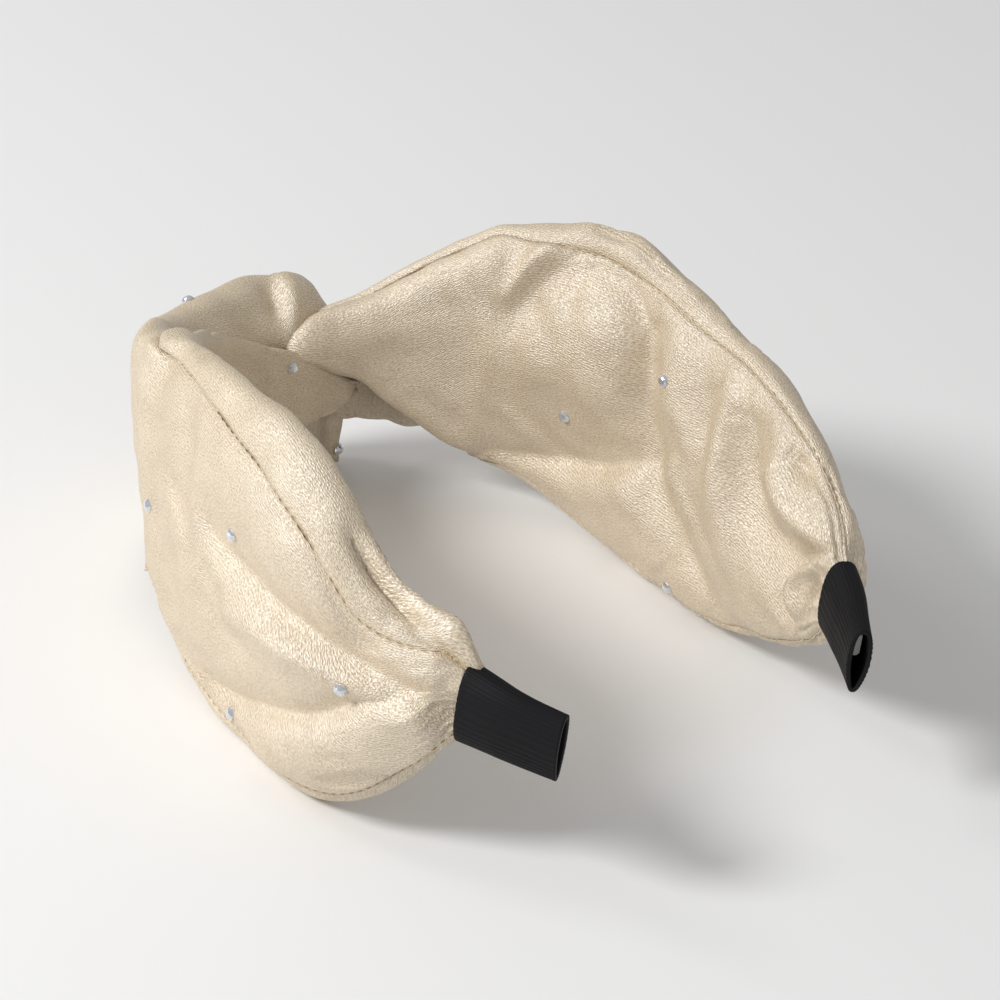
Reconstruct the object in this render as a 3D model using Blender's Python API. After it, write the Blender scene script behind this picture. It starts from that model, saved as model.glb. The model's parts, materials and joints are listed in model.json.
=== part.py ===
"""Knotted headband lying on its lower edge.

The hoop bends round in the XY plane with its crown towards +Y and its two open ends towards -Y.
The band's width runs along Z. The left arm is at -X and the right arm at +X.
Each place on the band is given as (arc, out, height): millimetres along the hoop from the crown's
middle (negative on the left), outwards of the hoop's centre line, and above the hoop's middle.
"""

import math

import bmesh
import bpy
from mathutils import Matrix, Vector

MM = 0.001

# The hoop's centre line: one arc over the crown, then one long arc down each side.
CROWN_RADIUS = 54.0
CROWN_ARC = 71.0
SIDE_RADIUS = 146.0
CROWN_TURN = CROWN_ARC / CROWN_RADIUS

# Where the crown's middle lies, so that the origin is the middle of the band's footprint.
CROWN_X = -0.9
CROWN_Y = 69.6
MIDDLE_HEIGHT = 36.5

# The plastic hoop.
HOOP_HALF_LENGTH = 183.0
HOOP_WIDTH = 9.0
HOOP_THICKNESS = 1.8
HOOP_ROUNDING = 0.5
HOOP_STEPS = 37

# The hoop narrows towards its tips: (distance from the tip, share of the full width).
HOOP_TIP_START = 6.0
HOOP_TIPS = ((3.0, 0.85), (0.0, 0.5))

# Fabric, wadding and fit.
FABRIC = 1.2
GAP = 0.3
WADDING_GAP = 1.0
CHANNEL = HOOP_THICKNESS / 2 + GAP

# The two places where the band gives when its arms are spread. The solids stand back from each
# other there by the room that the arm's outer and inner corners need.
HINGE_ARC = 48.0
HINGE_GAP = 0.25
SPREAD_ROOM = math.tan(math.radians(13.5))
CLOSE_ROOM = math.tan(math.radians(6.5))
CROWN_END = HINGE_ARC - HINGE_GAP

# The arms: (arc, lowest, highest, bulge outwards, bulge inwards) of the finished cover.
LEFT_OUTLINE = (
    (48, -27, 24, 7.6, 8.0),
    (63, -28.8, 28, 7.2, 8.0),
    (80, -31, 33, 7.2, 8.2),
    (97, -34.6, 36, 8.4, 8.6),
    (117, -37, 37.4, 10.3, 8.0),
    (133, -37, 31.6, 12.2, 7.2),
    (147, -31, 22.4, 11.0, 5.8),
    (158, -20, 17, 8.0, 5.6),
    (166, -8.6, 10.2, 4.3, 4.3),
)
RIGHT_OUTLINE = (
    (48, -28, 28, 9.5, 8.5),
    (61, -30, 34, 11.0, 10.0),
    (74, -35, 36.4, 11.8, 9.6),
    (88, -37, 34.6, 11.6, 9.8),
    (103, -37, 30.8, 11.3, 10.0),
    (122, -34, 28.8, 10.8, 10.0),
    (138, -27.6, 25.6, 9.3, 9.0),
    (153, -20, 20, 8.2, 7.2),
    (166, -9, 10, 5.0, 4.5),
)
COVER_END = 166.0
RING_STEP = 8.0
SLAB_STEP = 4.5
SLAB_ROUNDING = 0.3
WADDING_END = 160.0
WADDING_ANGLE = 72.0

# The angles round the cover, from straight out and turning up, between which each leg of a strip
# runs. The left arm's seams lie on its outer face and the right arm's on its inner face.
LEFT_LEGS = {"outer": (-62.0, 52.0), "inner": (52.0, 298.0)}
RIGHT_LEGS = {"outer": (-110.0, 106.0), "inner": (106.0, 250.0)}
SEAM_HALF_GAP = 2.2
LEG_ANGLE_STEP = 14.0
THREAD_RADIUS = 0.2
THREAD_END = 158.0

# The black ribbon sleeve round each end of the hoop: (arc, middle height, half height, half depth).
SLEEVE_WALL = 0.7
SLEEVE_SECTIONS = (
    (166.5, 0.7, 8.2, 3.6),
    (173.0, 0.2, 7.6, 3.4),
    (180.0, -0.6, 7.2, 2.7),
    (187.0, -1.3, 7.0, 2.2),
)

# The crystals on the arms: (arc, angle round the cover), about 36 mm apart in staggered rows.
LEFT_STONES = (
    (73, -11), (112, 19), (115.5, -48), (146.5, 5),
    (66, 160), (88, 200), (110, 154), (132, 200), (150, 166),
)
RIGHT_STONES = (
    (72, 191), (100, 147), (109, 237),
    (62, 30), (80, -24), (102, 24), (122, -26), (143, 20),
)
STONE_RADIUS = 1.45
STONE_GIRDLE = 0.35
STONE_TABLE = 0.8
STONE_HEIGHT = 1.1
STONE_SIDES = 10
STONE_LIFT = 0.4

# The crystals on the knot: (arc, out, height), then the way each faces as (arc, out, up).
KNOT_STONES = (
    ((-20, 9.8, 11.7), (0.0, 0.5, 0.85)),
    ((-3, -7.0, -2.6), (0.0, -1.0, 0.0)),
    ((16.6, 4.0, -32.0), (1.0, 0.0, 0.0)),
    ((-28, 10.8, -10.0), (0.0, 1.0, 0.0)),
    ((-1, 12.6, -20.0), (0.0, 1.0, 0.0)),
)

CREAM = (0.72, 0.63, 0.49)
CREAM_THREAD = (0.62, 0.52, 0.38)
WADDING = (0.82, 0.81, 0.78)
BLACK = (0.012, 0.012, 0.014)
CLEAR_CRYSTAL = (0.86, 0.87, 0.9)
HOOP_WHITE = (0.75, 0.74, 0.7)


def hoop_point(arc, out=0.0, height=0.0):
    """The place at (arc, out, height), in metres."""
    side = -1.0 if arc < 0 else 1.0
    crown_turn = min(abs(arc), CROWN_ARC) / CROWN_RADIUS
    turn = crown_turn + max(abs(arc) - CROWN_ARC, 0.0) / SIDE_RADIUS
    x = (CROWN_RADIUS - SIDE_RADIUS) * math.sin(crown_turn) + (SIDE_RADIUS + out) * math.sin(turn)
    y = (CROWN_RADIUS - SIDE_RADIUS) * math.cos(crown_turn) + (SIDE_RADIUS + out) * math.cos(turn)
    y -= CROWN_RADIUS
    return Vector((side * x + CROWN_X, y + CROWN_Y, height + MIDDLE_HEIGHT)) * MM


def between(table, arc):
    """The row of the table at this arc, in a straight line between the rows on each side of it."""
    for before, after in zip(table, table[1:]):
        if arc <= after[0]:
            break
    share = min(max((arc - before[0]) / (after[0] - before[0]), 0.0), 1.0)
    return [a + (b - a) * share for a, b in zip(before, after)]


def cover_section(outline, arc, angle, inset=0.0):
    """(out, height) on the cover's section at this arc: an oval of two half depths, flat where it
    lies on the floor."""
    _, low, high, outward, inward = between(outline, arc)
    turn = math.radians(angle)
    depth = outward if math.cos(turn) > 0 else inward
    half = (high - low) / 2
    height = (low + high) / 2 + (half - inset) * math.sin(turn)
    return (depth - inset) * math.cos(turn), max(height, inset - MIDDLE_HEIGHT)


def steps(start, end, count):
    return [start + (end - start) * i / (count - 1) for i in range(count)]


def close_arcs(rows):
    """The arcs of the rows, with more between them wherever two lie further apart than SLAB_STEP."""
    arcs = [rows[0][0]]
    for before, after in zip(rows, rows[1:]):
        count = math.ceil((after[0] - before[0]) / SLAB_STEP) + 1
        arcs += steps(before[0], after[0], count)[1:]
    return arcs


def arm_arcs(end):
    """The arcs of an arm's rings, evenly spaced from the hinge to the end."""
    count = math.ceil((end - HINGE_ARC) / RING_STEP) + 1
    return steps(HINGE_ARC, end, count)


def arm_ring(side, arc, section):
    """One ring of an arm. The first stands back from the hinge by the room that spreading takes."""
    points = []
    for out, height in section:
        back = 0.0
        if arc == HINGE_ARC:
            back = HINGE_GAP + max(out, 0) * SPREAD_ROOM + max(-out, 0) * CLOSE_ROOM
        points.append(hoop_point(side * (arc + back), out, height))
    return points


def loft(name, rings, material, ends="flat"):
    """A closed solid through the rings. Its ends are flat faces, a strip of them across a shell whose
    rings run out along one face and back along the other, or none on a tube that closes on itself."""
    made = bmesh.new()
    rows = [[made.verts.new(point) for point in ring] for ring in rings]
    size = len(rows[0])
    if ends == "none":
        rows.append(rows[0])
    for row, following in zip(rows, rows[1:]):
        for i in range(size):
            j = (i + 1) % size
            made.faces.new((row[i], row[j], following[j], following[i]))
    for row in (rows[0], rows[-1]):
        if ends == "flat":
            made.faces.new(row)
        if ends == "strip":
            for i in range(size // 2 - 1):
                made.faces.new((row[i], row[i + 1], row[size - 2 - i], row[size - 1 - i]))
    return finished(name, made, material)


def finished(name, made, material):
    """The object of a closed bmesh, with its faces turned outwards."""
    bmesh.ops.triangulate(made, faces=made.faces[:])
    bmesh.ops.recalc_face_normals(made, faces=made.faces[:])
    mesh = bpy.data.meshes.new(name)
    made.to_mesh(mesh)
    made.free()
    mesh.materials.append(material)
    solid = bpy.data.objects.new(name, mesh)
    bpy.context.scene.collection.objects.link(solid)
    return solid


def fabric_leg(name, side, outline, angles, material):
    """One leg of a strip: a fabric shell along the arm, between its two seams."""
    count = math.ceil((angles[1] - angles[0]) / LEG_ANGLE_STEP) + 1
    angles = steps(angles[0] + SEAM_HALF_GAP, angles[1] - SEAM_HALF_GAP, count)
    rings = []
    for arc in arm_arcs(COVER_END):
        section = [cover_section(outline, arc, angle) for angle in angles]
        section += [cover_section(outline, arc, angle, FABRIC) for angle in reversed(angles)]
        rings.append(arm_ring(side, arc, section))
    return loft(name, rings, material, ends="strip")


def wadding(name, side, outline, face, material):
    """The wadding between a cover's leg and the hoop: flat where the hoop lies against it."""
    rings = []
    for arc in arm_arcs(WADDING_END):
        curve = []
        for angle in steps(-WADDING_ANGLE, WADDING_ANGLE, 9):
            turned = angle if face > 0 else 180 - angle
            curve.append(cover_section(outline, arc, turned, FABRIC + WADDING_GAP))
        flat = [(face * CHANNEL, curve[-1][1]), (face * CHANNEL, curve[0][1])]
        rings.append(arm_ring(side, arc, curve + flat))
    return loft(name, rings, material)


def seam_thread(name, side, outline, angle, material):
    rings = []
    for arc in arm_arcs(THREAD_END):
        out, height = cover_section(outline, arc, angle, FABRIC / 2)
        section = [
            (out + THREAD_RADIUS * math.cos(math.radians(turn)),
             height + THREAD_RADIUS * math.sin(math.radians(turn)))
            for turn in range(0, 360, 90)
        ]
        rings.append(arm_ring(side, arc, section))
    return loft(name, rings, material)


def rounded_section(middle_out, middle_height, half_depth, half_height, count=16, squareness=0.75):
    section = []
    for turn in steps(0, 2 * math.pi, count + 1)[:-1]:
        across, up = math.cos(turn), math.sin(turn)
        section.append((
            middle_out + half_depth * math.copysign(abs(across) ** squareness, across),
            middle_height + half_height * math.copysign(abs(up) ** squareness, up),
        ))
    return section


def end_sleeve(name, side, material):
    """A ribbon wrapped round the hoop's end: an oval tube that flattens towards its open mouth."""
    outside, inside = [], []
    for arc, middle, half_height, half_depth in SLEEVE_SECTIONS:
        outer = rounded_section(0, middle, half_depth, half_height)
        inner = rounded_section(0, middle, half_depth - SLEEVE_WALL, half_height - SLEEVE_WALL)
        outside.append([hoop_point(side * arc, *place) for place in outer])
        inside.append([hoop_point(side * arc, *place) for place in inner])
    return loft(name, outside + inside[::-1], material, ends="none")


def hoop(material):
    arcs = [(arc, 1.0) for arc in steps(0, HOOP_HALF_LENGTH - HOOP_TIP_START, HOOP_STEPS)]
    arcs += [(HOOP_HALF_LENGTH - distance, share) for distance, share in HOOP_TIPS]
    both = [(-arc, share) for arc, share in reversed(arcs[1:])] + arcs
    rings = []
    for arc, share in both:
        w, t, r = HOOP_WIDTH / 2 * share, HOOP_THICKNESS / 2, HOOP_ROUNDING
        section = [(t, r - w), (t, w - r), (t - r, w), (r - t, w),
                   (-t, w - r), (-t, r - w), (r - t, -w), (t - r, -w)]
        rings.append([hoop_point(arc, *place) for place in section])
    return loft("hoop", rings, material)


def slab(name, rows, material):
    """A padded strip through rows of (arc, lowest, highest, near the head, far from the head)."""
    rings = []
    for arc in close_arcs(rows):
        _, low, high, near, far = between(rows, arc)
        round_off = SLAB_ROUNDING * min(far - near, high - low)
        section = [
            (far, low + round_off), (far, high - round_off),
            (far - round_off, high), (near + round_off, high),
            (near, high - round_off), (near, low + round_off),
            (near + round_off, low), (far - round_off, low),
        ]
        rings.append([hoop_point(arc, *place) for place in section])
    return loft(name, rings, material)


def join_by_union(body, others):
    """Unites the others with the body, and hides them."""
    for other in others:
        union = body.modifiers.new("union_" + other.name, "BOOLEAN")
        union.operation = "UNION"
        union.solver = "EXACT"
        union.object = other
        other.hide_render = True
        other.display_type = "WIRE"


def left_strip_loop(material):
    """The left strip at the knot: over the outside, under the hoop, and back along the inside."""
    over = slab("left_strip_loop", (
        (-CROWN_END, -27, 22, CHANNEL, 8.0),
        (-38, -29, 17, CHANNEL, 9.0),
        (-26, -33, 13, CHANNEL, 10.5),
        (-17, -36.5, 12.5, 3.0, 12.0),
        (-10, -36.5, 12.5, 5.1, 12.5),
        (0, -36.5, 12, 5.1, 12.5),
        (8, -36.5, 7, 5.1, 12.0),
        (12, -36, 0, 5.1, 11.0),
        (16, -35.5, -19, 5.3, 9.0),
    ), material)
    top = slab("left_strip_top_fold", (
        (-34, 6.0, 15, -1.5, 9.0),
        (-24, 5.6, 13, -2.5, 9.0),
        (-14, 5.6, 12.6, -2.5, 9.0),
        (-9, 7.0, 12.6, -1.0, 9.0),
    ), material)
    back = slab("left_strip_return", (
        (-CROWN_END, -29, 22, -8.5, -CHANNEL),
        (-36, -26, 16, -8.0, -CHANNEL),
        (-26, -24, 11, -7.5, -CHANNEL),
        (-14, -22, 5.5, -7.0, -CHANNEL),
        (-3, -20.5, 0.6, -7.0, -CHANNEL),
        (8, -19.5, -5.8, -7.0, -CHANNEL),
        (15, -18.5, -11.0, -6.0, -CHANNEL),
        (19, -17.5, -13.5, -5.0, -CHANNEL),
    ), material)
    under = slab("left_strip_under_fold", (
        (7, -34, -12.5, -3.5, 8.0),
        (12, -34.5, -13.5, -3.5, 8.0),
        (16.5, -34, -14.5, -3.0, 7.0),
    ), material)
    join_by_union(over, (top, back, under))
    return over


def right_strip_loop(material):
    """The right strip at the knot: along the outside, over the hoop's top, and out along the inside."""
    outer = slab("right_strip_loop", (
        (-6.5, -24, 9.5, CHANNEL, 4.7),
        (8, -11.5, 9.0, CHANNEL, 4.7),
        (19.5, -13.5, 10, CHANNEL, 4.7),
        (21, -25, 12, CHANNEL, 6.0),
        (27, -26, 15, CHANNEL, 8.0),
        (36, -26, 20, CHANNEL, 9.0),
        (CROWN_END, -28, 28, CHANNEL, 9.5),
    ), material)
    inner = slab("right_strip_return", (
        (-5, 1.9, 6.5, -4.5, -CHANNEL),
        (4, -1.2, 8.5, -6.0, -CHANNEL),
        (12, -7.0, 9.0, -7.0, -CHANNEL),
        (19, -11.5, 10.5, -7.5, -CHANNEL),
        (26, -17, 14, -7.5, -CHANNEL),
        (36, -21, 20, -7.5, -CHANNEL),
        (CROWN_END, -27, 28, -7.5, -CHANNEL),
    ), material)
    over = slab("right_strip_over_fold", (
        (-5.5, 5.4, 9.0, -3.0, 3.5),
        (0, 5.4, 9.0, -3.0, 3.5),
        (4, 5.4, 8.5, -3.0, 3.5),
    ), material)
    join_by_union(outer, (inner, over))
    return outer


def crystal(name, place, facing, material):
    """A flat-backed crystal: a low girdle, ten sloping facets and a small table."""
    made = bmesh.new()
    rows = []
    turns = steps(0, 2 * math.pi, STONE_SIDES + 1)[:-1]
    outline = ((STONE_RADIUS, 0), (STONE_RADIUS, STONE_GIRDLE), (STONE_TABLE, STONE_HEIGHT))
    for radius, height in outline:
        rows.append([
            made.verts.new(Vector((radius * math.cos(turn), radius * math.sin(turn), height)) * MM)
            for turn in turns
        ])
    for row, following in zip(rows, rows[1:]):
        for i in range(STONE_SIDES):
            j = (i + 1) % STONE_SIDES
            made.faces.new((row[i], row[j], following[j], following[i]))
    made.faces.new(rows[0])
    made.faces.new(rows[-1])
    stone = finished(name, made, material)
    turned = facing.to_track_quat("Z", "Y").to_matrix().to_4x4()
    stone.matrix_world = Matrix.Translation(place + facing * STONE_LIFT * MM) @ turned
    return stone


def stones_on_arm(prefix, side, outline, places, material):
    for number, (arc, angle) in enumerate(places, 1):
        here = hoop_point(side * arc, *cover_section(outline, arc, angle))
        along = hoop_point(side * (arc + 2), *cover_section(outline, arc + 2, angle)) - here
        around = hoop_point(side * arc, *cover_section(outline, arc, angle + 4)) - here
        facing = (along.cross(around) * -side).normalized()
        crystal(f"{prefix}_{number:02d}", here, facing, material)


def stones_on_knot(material):
    for number, (place, way) in enumerate(KNOT_STONES, 1):
        here = hoop_point(*place)
        along = (hoop_point(place[0] + 1.0) - hoop_point(place[0])).normalized()
        outward = (hoop_point(place[0], 1.0) - hoop_point(place[0])).normalized()
        facing = along * way[0] + outward * way[1] + Vector((0, 0, way[2]))
        crystal(f"knot_crystal_{number:02d}", here, facing.normalized(), material)


def plain_material(name, colour, roughness, metallic=0.0):
    material = bpy.data.materials.new(name)
    material.use_nodes = True
    shader = material.node_tree.nodes["Principled BSDF"]
    shader.inputs["Base Color"].default_value = (*colour, 1.0)
    shader.inputs["Roughness"].default_value = roughness
    shader.inputs["Metallic"].default_value = metallic
    return material


def arm(name, side, outline, legs, stones, materials):
    """One arm: two fabric legs sewn along both edges, wadding on each face of the hoop, and a sleeve."""
    for leg, angles in legs.items():
        fabric_leg(f"{name}_cover_{leg}_leg", side, outline, angles, materials["fabric"])
    wadding(f"{name}_wadding_outer", side, outline, 1, materials["wadding"])
    wadding(f"{name}_wadding_inner", side, outline, -1, materials["wadding"])
    for place, angle in zip(("bottom", "top"), legs["outer"]):
        seam_thread(f"{name}_seam_{place}", side, outline, angle, materials["thread"])
    end_sleeve(f"{name}_end_sleeve", side, materials["ribbon"])
    stones_on_arm(f"{name}_crystal", side, outline, stones, materials["crystal"])


def main():
    for old in list(bpy.data.objects):
        bpy.data.objects.remove(old)
    materials = {
        "fabric": plain_material("champagne_satin", CREAM, 0.55),
        "thread": plain_material("cream_thread", CREAM_THREAD, 0.7),
        "wadding": plain_material("white_wadding", WADDING, 0.9),
        "ribbon": plain_material("black_grosgrain", BLACK, 0.6),
        "crystal": plain_material("clear_crystal", CLEAR_CRYSTAL, 0.1),
        "hoop": plain_material("white_plastic", HOOP_WHITE, 0.4),
    }
    hoop(materials["hoop"])
    left_strip_loop(materials["fabric"])
    right_strip_loop(materials["fabric"])
    stones_on_knot(materials["crystal"])
    arm("left", -1, LEFT_OUTLINE, LEFT_LEGS, LEFT_STONES, materials)
    arm("right", 1, RIGHT_OUTLINE, RIGHT_LEGS, RIGHT_STONES, materials)


main()
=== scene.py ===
"""The looks of the knotted headband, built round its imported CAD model.

A place on the band is (arc, out, height), in millimetres: along the hoop from the crown's middle
(negative on the left), outwards of the hoop's centre line, and above the hoop's middle.
"""

import json
import math

import bmesh
import bpy
import numpy as np
from mathutils import Matrix, Vector
from mathutils.bvhtree import BVHTree

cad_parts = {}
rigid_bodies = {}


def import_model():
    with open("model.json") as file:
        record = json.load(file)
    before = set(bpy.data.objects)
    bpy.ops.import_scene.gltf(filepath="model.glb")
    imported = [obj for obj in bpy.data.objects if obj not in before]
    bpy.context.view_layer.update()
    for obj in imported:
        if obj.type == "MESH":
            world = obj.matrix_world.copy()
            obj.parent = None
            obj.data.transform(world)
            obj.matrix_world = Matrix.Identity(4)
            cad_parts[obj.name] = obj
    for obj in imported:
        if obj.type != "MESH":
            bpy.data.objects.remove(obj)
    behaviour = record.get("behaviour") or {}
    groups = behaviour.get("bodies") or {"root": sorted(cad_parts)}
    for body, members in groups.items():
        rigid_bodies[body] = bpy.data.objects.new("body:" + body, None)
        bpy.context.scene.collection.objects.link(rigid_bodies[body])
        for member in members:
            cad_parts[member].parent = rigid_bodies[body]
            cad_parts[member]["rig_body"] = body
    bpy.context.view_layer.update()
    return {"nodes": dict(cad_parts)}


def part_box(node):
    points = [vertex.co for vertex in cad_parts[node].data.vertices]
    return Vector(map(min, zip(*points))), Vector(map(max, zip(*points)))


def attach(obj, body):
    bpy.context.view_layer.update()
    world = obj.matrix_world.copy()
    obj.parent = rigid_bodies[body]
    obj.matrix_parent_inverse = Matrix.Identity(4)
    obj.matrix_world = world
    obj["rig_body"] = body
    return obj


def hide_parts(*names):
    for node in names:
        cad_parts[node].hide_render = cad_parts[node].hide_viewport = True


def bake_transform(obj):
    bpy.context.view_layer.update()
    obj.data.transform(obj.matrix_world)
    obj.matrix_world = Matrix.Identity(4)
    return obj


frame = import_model()

MM = 0.001

# The hoop, as in the CAD model: its centre line is one arc over the crown, then one down each side,
# its edges are cut off by the rounding, and its tips narrow over their last millimetres.
CROWN_RADIUS = 54.0
CROWN_ARC = 71.0
SIDE_RADIUS = 146.0
HOOP_THICKNESS = 1.8
HOOP_WIDTH = 9.0
HOOP_ROUNDING = 0.5
HOOP_TIP_START = 178.0
HOOP_TIP_ARCS = (180.5, 182.2, 183.0)
HOOP_TIP_NARROWING = 0.45
FLOOR = -36.5

# The finished cover of each arm: (arc, lowest, highest, bulge outwards, bulge inwards).
LEFT_OUTLINE = np.array((
    (58, -28.5, 26.5, 5.0, 8.0),
    (70, -29.2, 30.0, 5.0, 8.0),
    (80, -31.0, 33.0, 6.4, 8.2),
    (97, -34.6, 36.0, 8.1, 8.6),
    (117, -36.3, 37.4, 10.3, 8.0),
    (133, -36.0, 31.4, 12.2, 6.4),
    (147, -31.0, 19.4, 11.0, 4.8),
    (157, -21.0, 15.4, 8.4, 4.7),
    (162, -14.5, 14.2, 6.6, 4.6),
    (165.5, -8.8, 12.0, 4.2, 3.8),
    (167.5, -6.6, 7.6, 2.8, 2.6),
    (171, -6.0, 6.6, 2.4, 2.2),
))
RIGHT_OUTLINE = np.array((
    (54, -28.8, 31.7, 10.0, 9.6),
    (61, -30.0, 34.0, 11.0, 10.2),
    (74, -33.8, 36.4, 11.8, 9.5),
    (88, -35.6, 34.5, 11.6, 9.8),
    (103, -36.3, 30.6, 11.3, 10.0),
    (122, -33.9, 28.7, 10.8, 10.0),
    (138, -27.5, 24.6, 9.3, 9.0),
    (153, -20.0, 18.6, 8.0, 7.0),
    (162, -13.4, 14.0, 6.8, 5.6),
    (165.5, -9.2, 10.2, 4.9, 4.2),
    (167.5, -6.6, 7.6, 2.8, 2.6),
    (171, -6.0, 6.6, 2.4, 2.2),
))

# Where the seams run round each arm: (arc, top seam's angle, bottom seam's angle), in degrees round
# the section from straight out, turning up. The left seams lie outside and the right ones inside.
LEFT_SEAMS = np.array((
    (58, 66, -62), (66, 65, -62), (74, 62, -62), (90, 58.5, -62), (106, 51.5, -62), (122, 47, -62),
    (138, 45, -62), (150, 43, -62), (158, 48, -62), (165, 58, -62), (171, 60, -62),
))
RIGHT_SEAMS = np.array((
    (54, 113, 250), (66, 117, 250), (74, 119, 250), (86, 116, 250), (98, 111, 250), (114, 106, 250),
    (130, 103, 250), (146, 93, 250), (158, 87, 250), (171, 84, 250),
))

# The legs in the knot, as ribs across the cloth: places from each leg's top edge to its bottom edge.
LEFT_OUTER_RIBS = (
    ((-62, 2.2, 25), (-62, 5.2, 25.8), (-62, 6.7, 20), (-62, 6.6, 8), (-62, 5.8, -4),
     (-62, 3.4, -16), (-62, 1.6, -26), (-62, 1.4, -28), (-62, 1.3, -27.6), (-62, 1.2, -27),
     (-62, 1.1, -26.4)),
    ((-56.5, -1.6, 21), (-55.5, 2.2, 24.4), (-54.5, 6, 23.8), (-54, 7.4, 13), (-53.5, 6.4, -2),
     (-53.5, 3.2, -15), (-53.5, 0.4, -26), (-53.5, 0, -28.5), (-53.5, -0.2, -27), (-53.5, -0.2, -24),
     (-53.5, 0, -22)),
    ((-50, -3, 15.5), (-48, 0.5, 20.6), (-47, 5, 22.4), (-46, 8.4, 17.6), (-46, 8.4, 3),
     (-46, 4.9, -13), (-46, 1.6, -27), (-46, 0.8, -29.7), (-46, 0.5, -27), (-46, 0.6, -22),
     (-46, 0.9, -18)),
    ((-40, -3.6, 9), (-38, 0, 14), (-37, 4.5, 16.8), (-36.3, 9, 14.5), (-36, 10, 3), (-36, 7.6, -13),
     (-36, 3.4, -29), (-36, 2.2, -32), (-36, 1.6, -29), (-36, 1.5, -21), (-36, 1.8, -15)),
    ((-29, -3.6, 5.5), (-28, 0, 10.5), (-27, 4.5, 13.6), (-26.4, 9.3, 12), (-26, 12, 2),
     (-26, 11.4, -13), (-26, 6.8, -31), (-26, 3.8, -34.6), (-26, 2.6, -31), (-26, 2.4, -21),
     (-26, 2.4, -12)),
    ((-17, -3.6, 3.8), (-16, 0, 8.8), (-15.5, 4.5, 12.6), (-15, 9.5, 11.8), (-15, 12.4, 2),
     (-15, 12.8, -13), (-15, 9.5, -32.5), (-15, 5.4, -36), (-15, 3, -32), (-15, 2.3, -21),
     (-15, 2.3, -11)),
    ((-8, -3.4, 0.6), (-7, 0.2, 6.6), (-6, 4.6, 11), (-5, 9.3, 12.3), (-4.5, 12.2, 2),
     (-4, 12.6, -13), (-4, 9.4, -33), (-4, 5.4, -36.2), (-4, 3, -32), (-4, 2.2, -21), (-4, 2.2, -8)),
    ((-3, -3.4, -1.2), (-2.4, -1.2, 5), (-2, 3, 7.2), (-1.4, 8.4, 11.9), (-0.6, 12, 2),
     (0, 12.4, -13), (1, 9.4, -33), (1, 5.4, -36.2), (1, 3, -32), (1, 2.2, -21), (1, 2.2, -8)),
    ((0.2, -3.2, 2.2), (0.8, -0.6, 8.2), (1.2, 3.2, 11.6), (1.4, 8, 12.2), (2.6, 11.9, 1.6),
     (3.6, 12.3, -13), (4.6, 9.4, -33), (4.8, 5.4, -36.2), (4.8, 3, -32), (4.4, 2.2, -21),
     (4, 2.2, -8)),
    ((3, -2.6, 3), (4, 0.4, 7.8), (4.6, 4, 10.8), (5.2, 8, 11.3), (6, 11.4, 0.6), (7.4, 12, -13.4),
     (8.6, 9.3, -33), (8.8, 5.4, -36.1), (8.6, 3, -32), (8, 2.2, -21), (7.2, 2.2, -9)),
    ((6, -1.6, 2.6), (7, 1.2, 6.2), (8, 4.6, 8.4), (9, 8, 8), (10, 10.9, -1), (11.6, 11.3, -14.4),
     (12.8, 9, -32.6), (12.8, 5.4, -36), (12.2, 3.2, -32), (11.4, 2.4, -21), (10.4, 2.4, -10)),
    ((10, 0.4, 1.6), (11, 2.8, 3), (12, 5.6, 3.2), (13, 8.2, 0.6), (14, 10, -6), (15.4, 10.2, -16),
     (16.4, 8.5, -33), (16.2, 5.2, -35.9), (15, 3.4, -32), (14, 2.8, -21), (13, 3, -12)),
    ((12, 2.6, -1), (13, 4.6, 0.4), (14.2, 7, -1), (15.3, 8.4, -4), (16.4, 8.8, -11),
     (17.8, 8.3, -20), (18.3, 6.8, -33), (18, 5, -35.6), (17.4, 4, -31.5), (17, 3.6, -21),
     (16.2, 3.8, -13)),
    ((12, 4.6, -3), (12.8, 5.8, -2.4), (13.6, 6.8, -4.6), (14.6, 7, -8), (15.6, 6.8, -13),
     (16.8, 6.2, -21), (17.3, 5.6, -31), (17.3, 5, -34), (17.2, 4.8, -30), (16.8, 4.6, -21),
     (16.2, 4.6, -14)),
)
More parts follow.
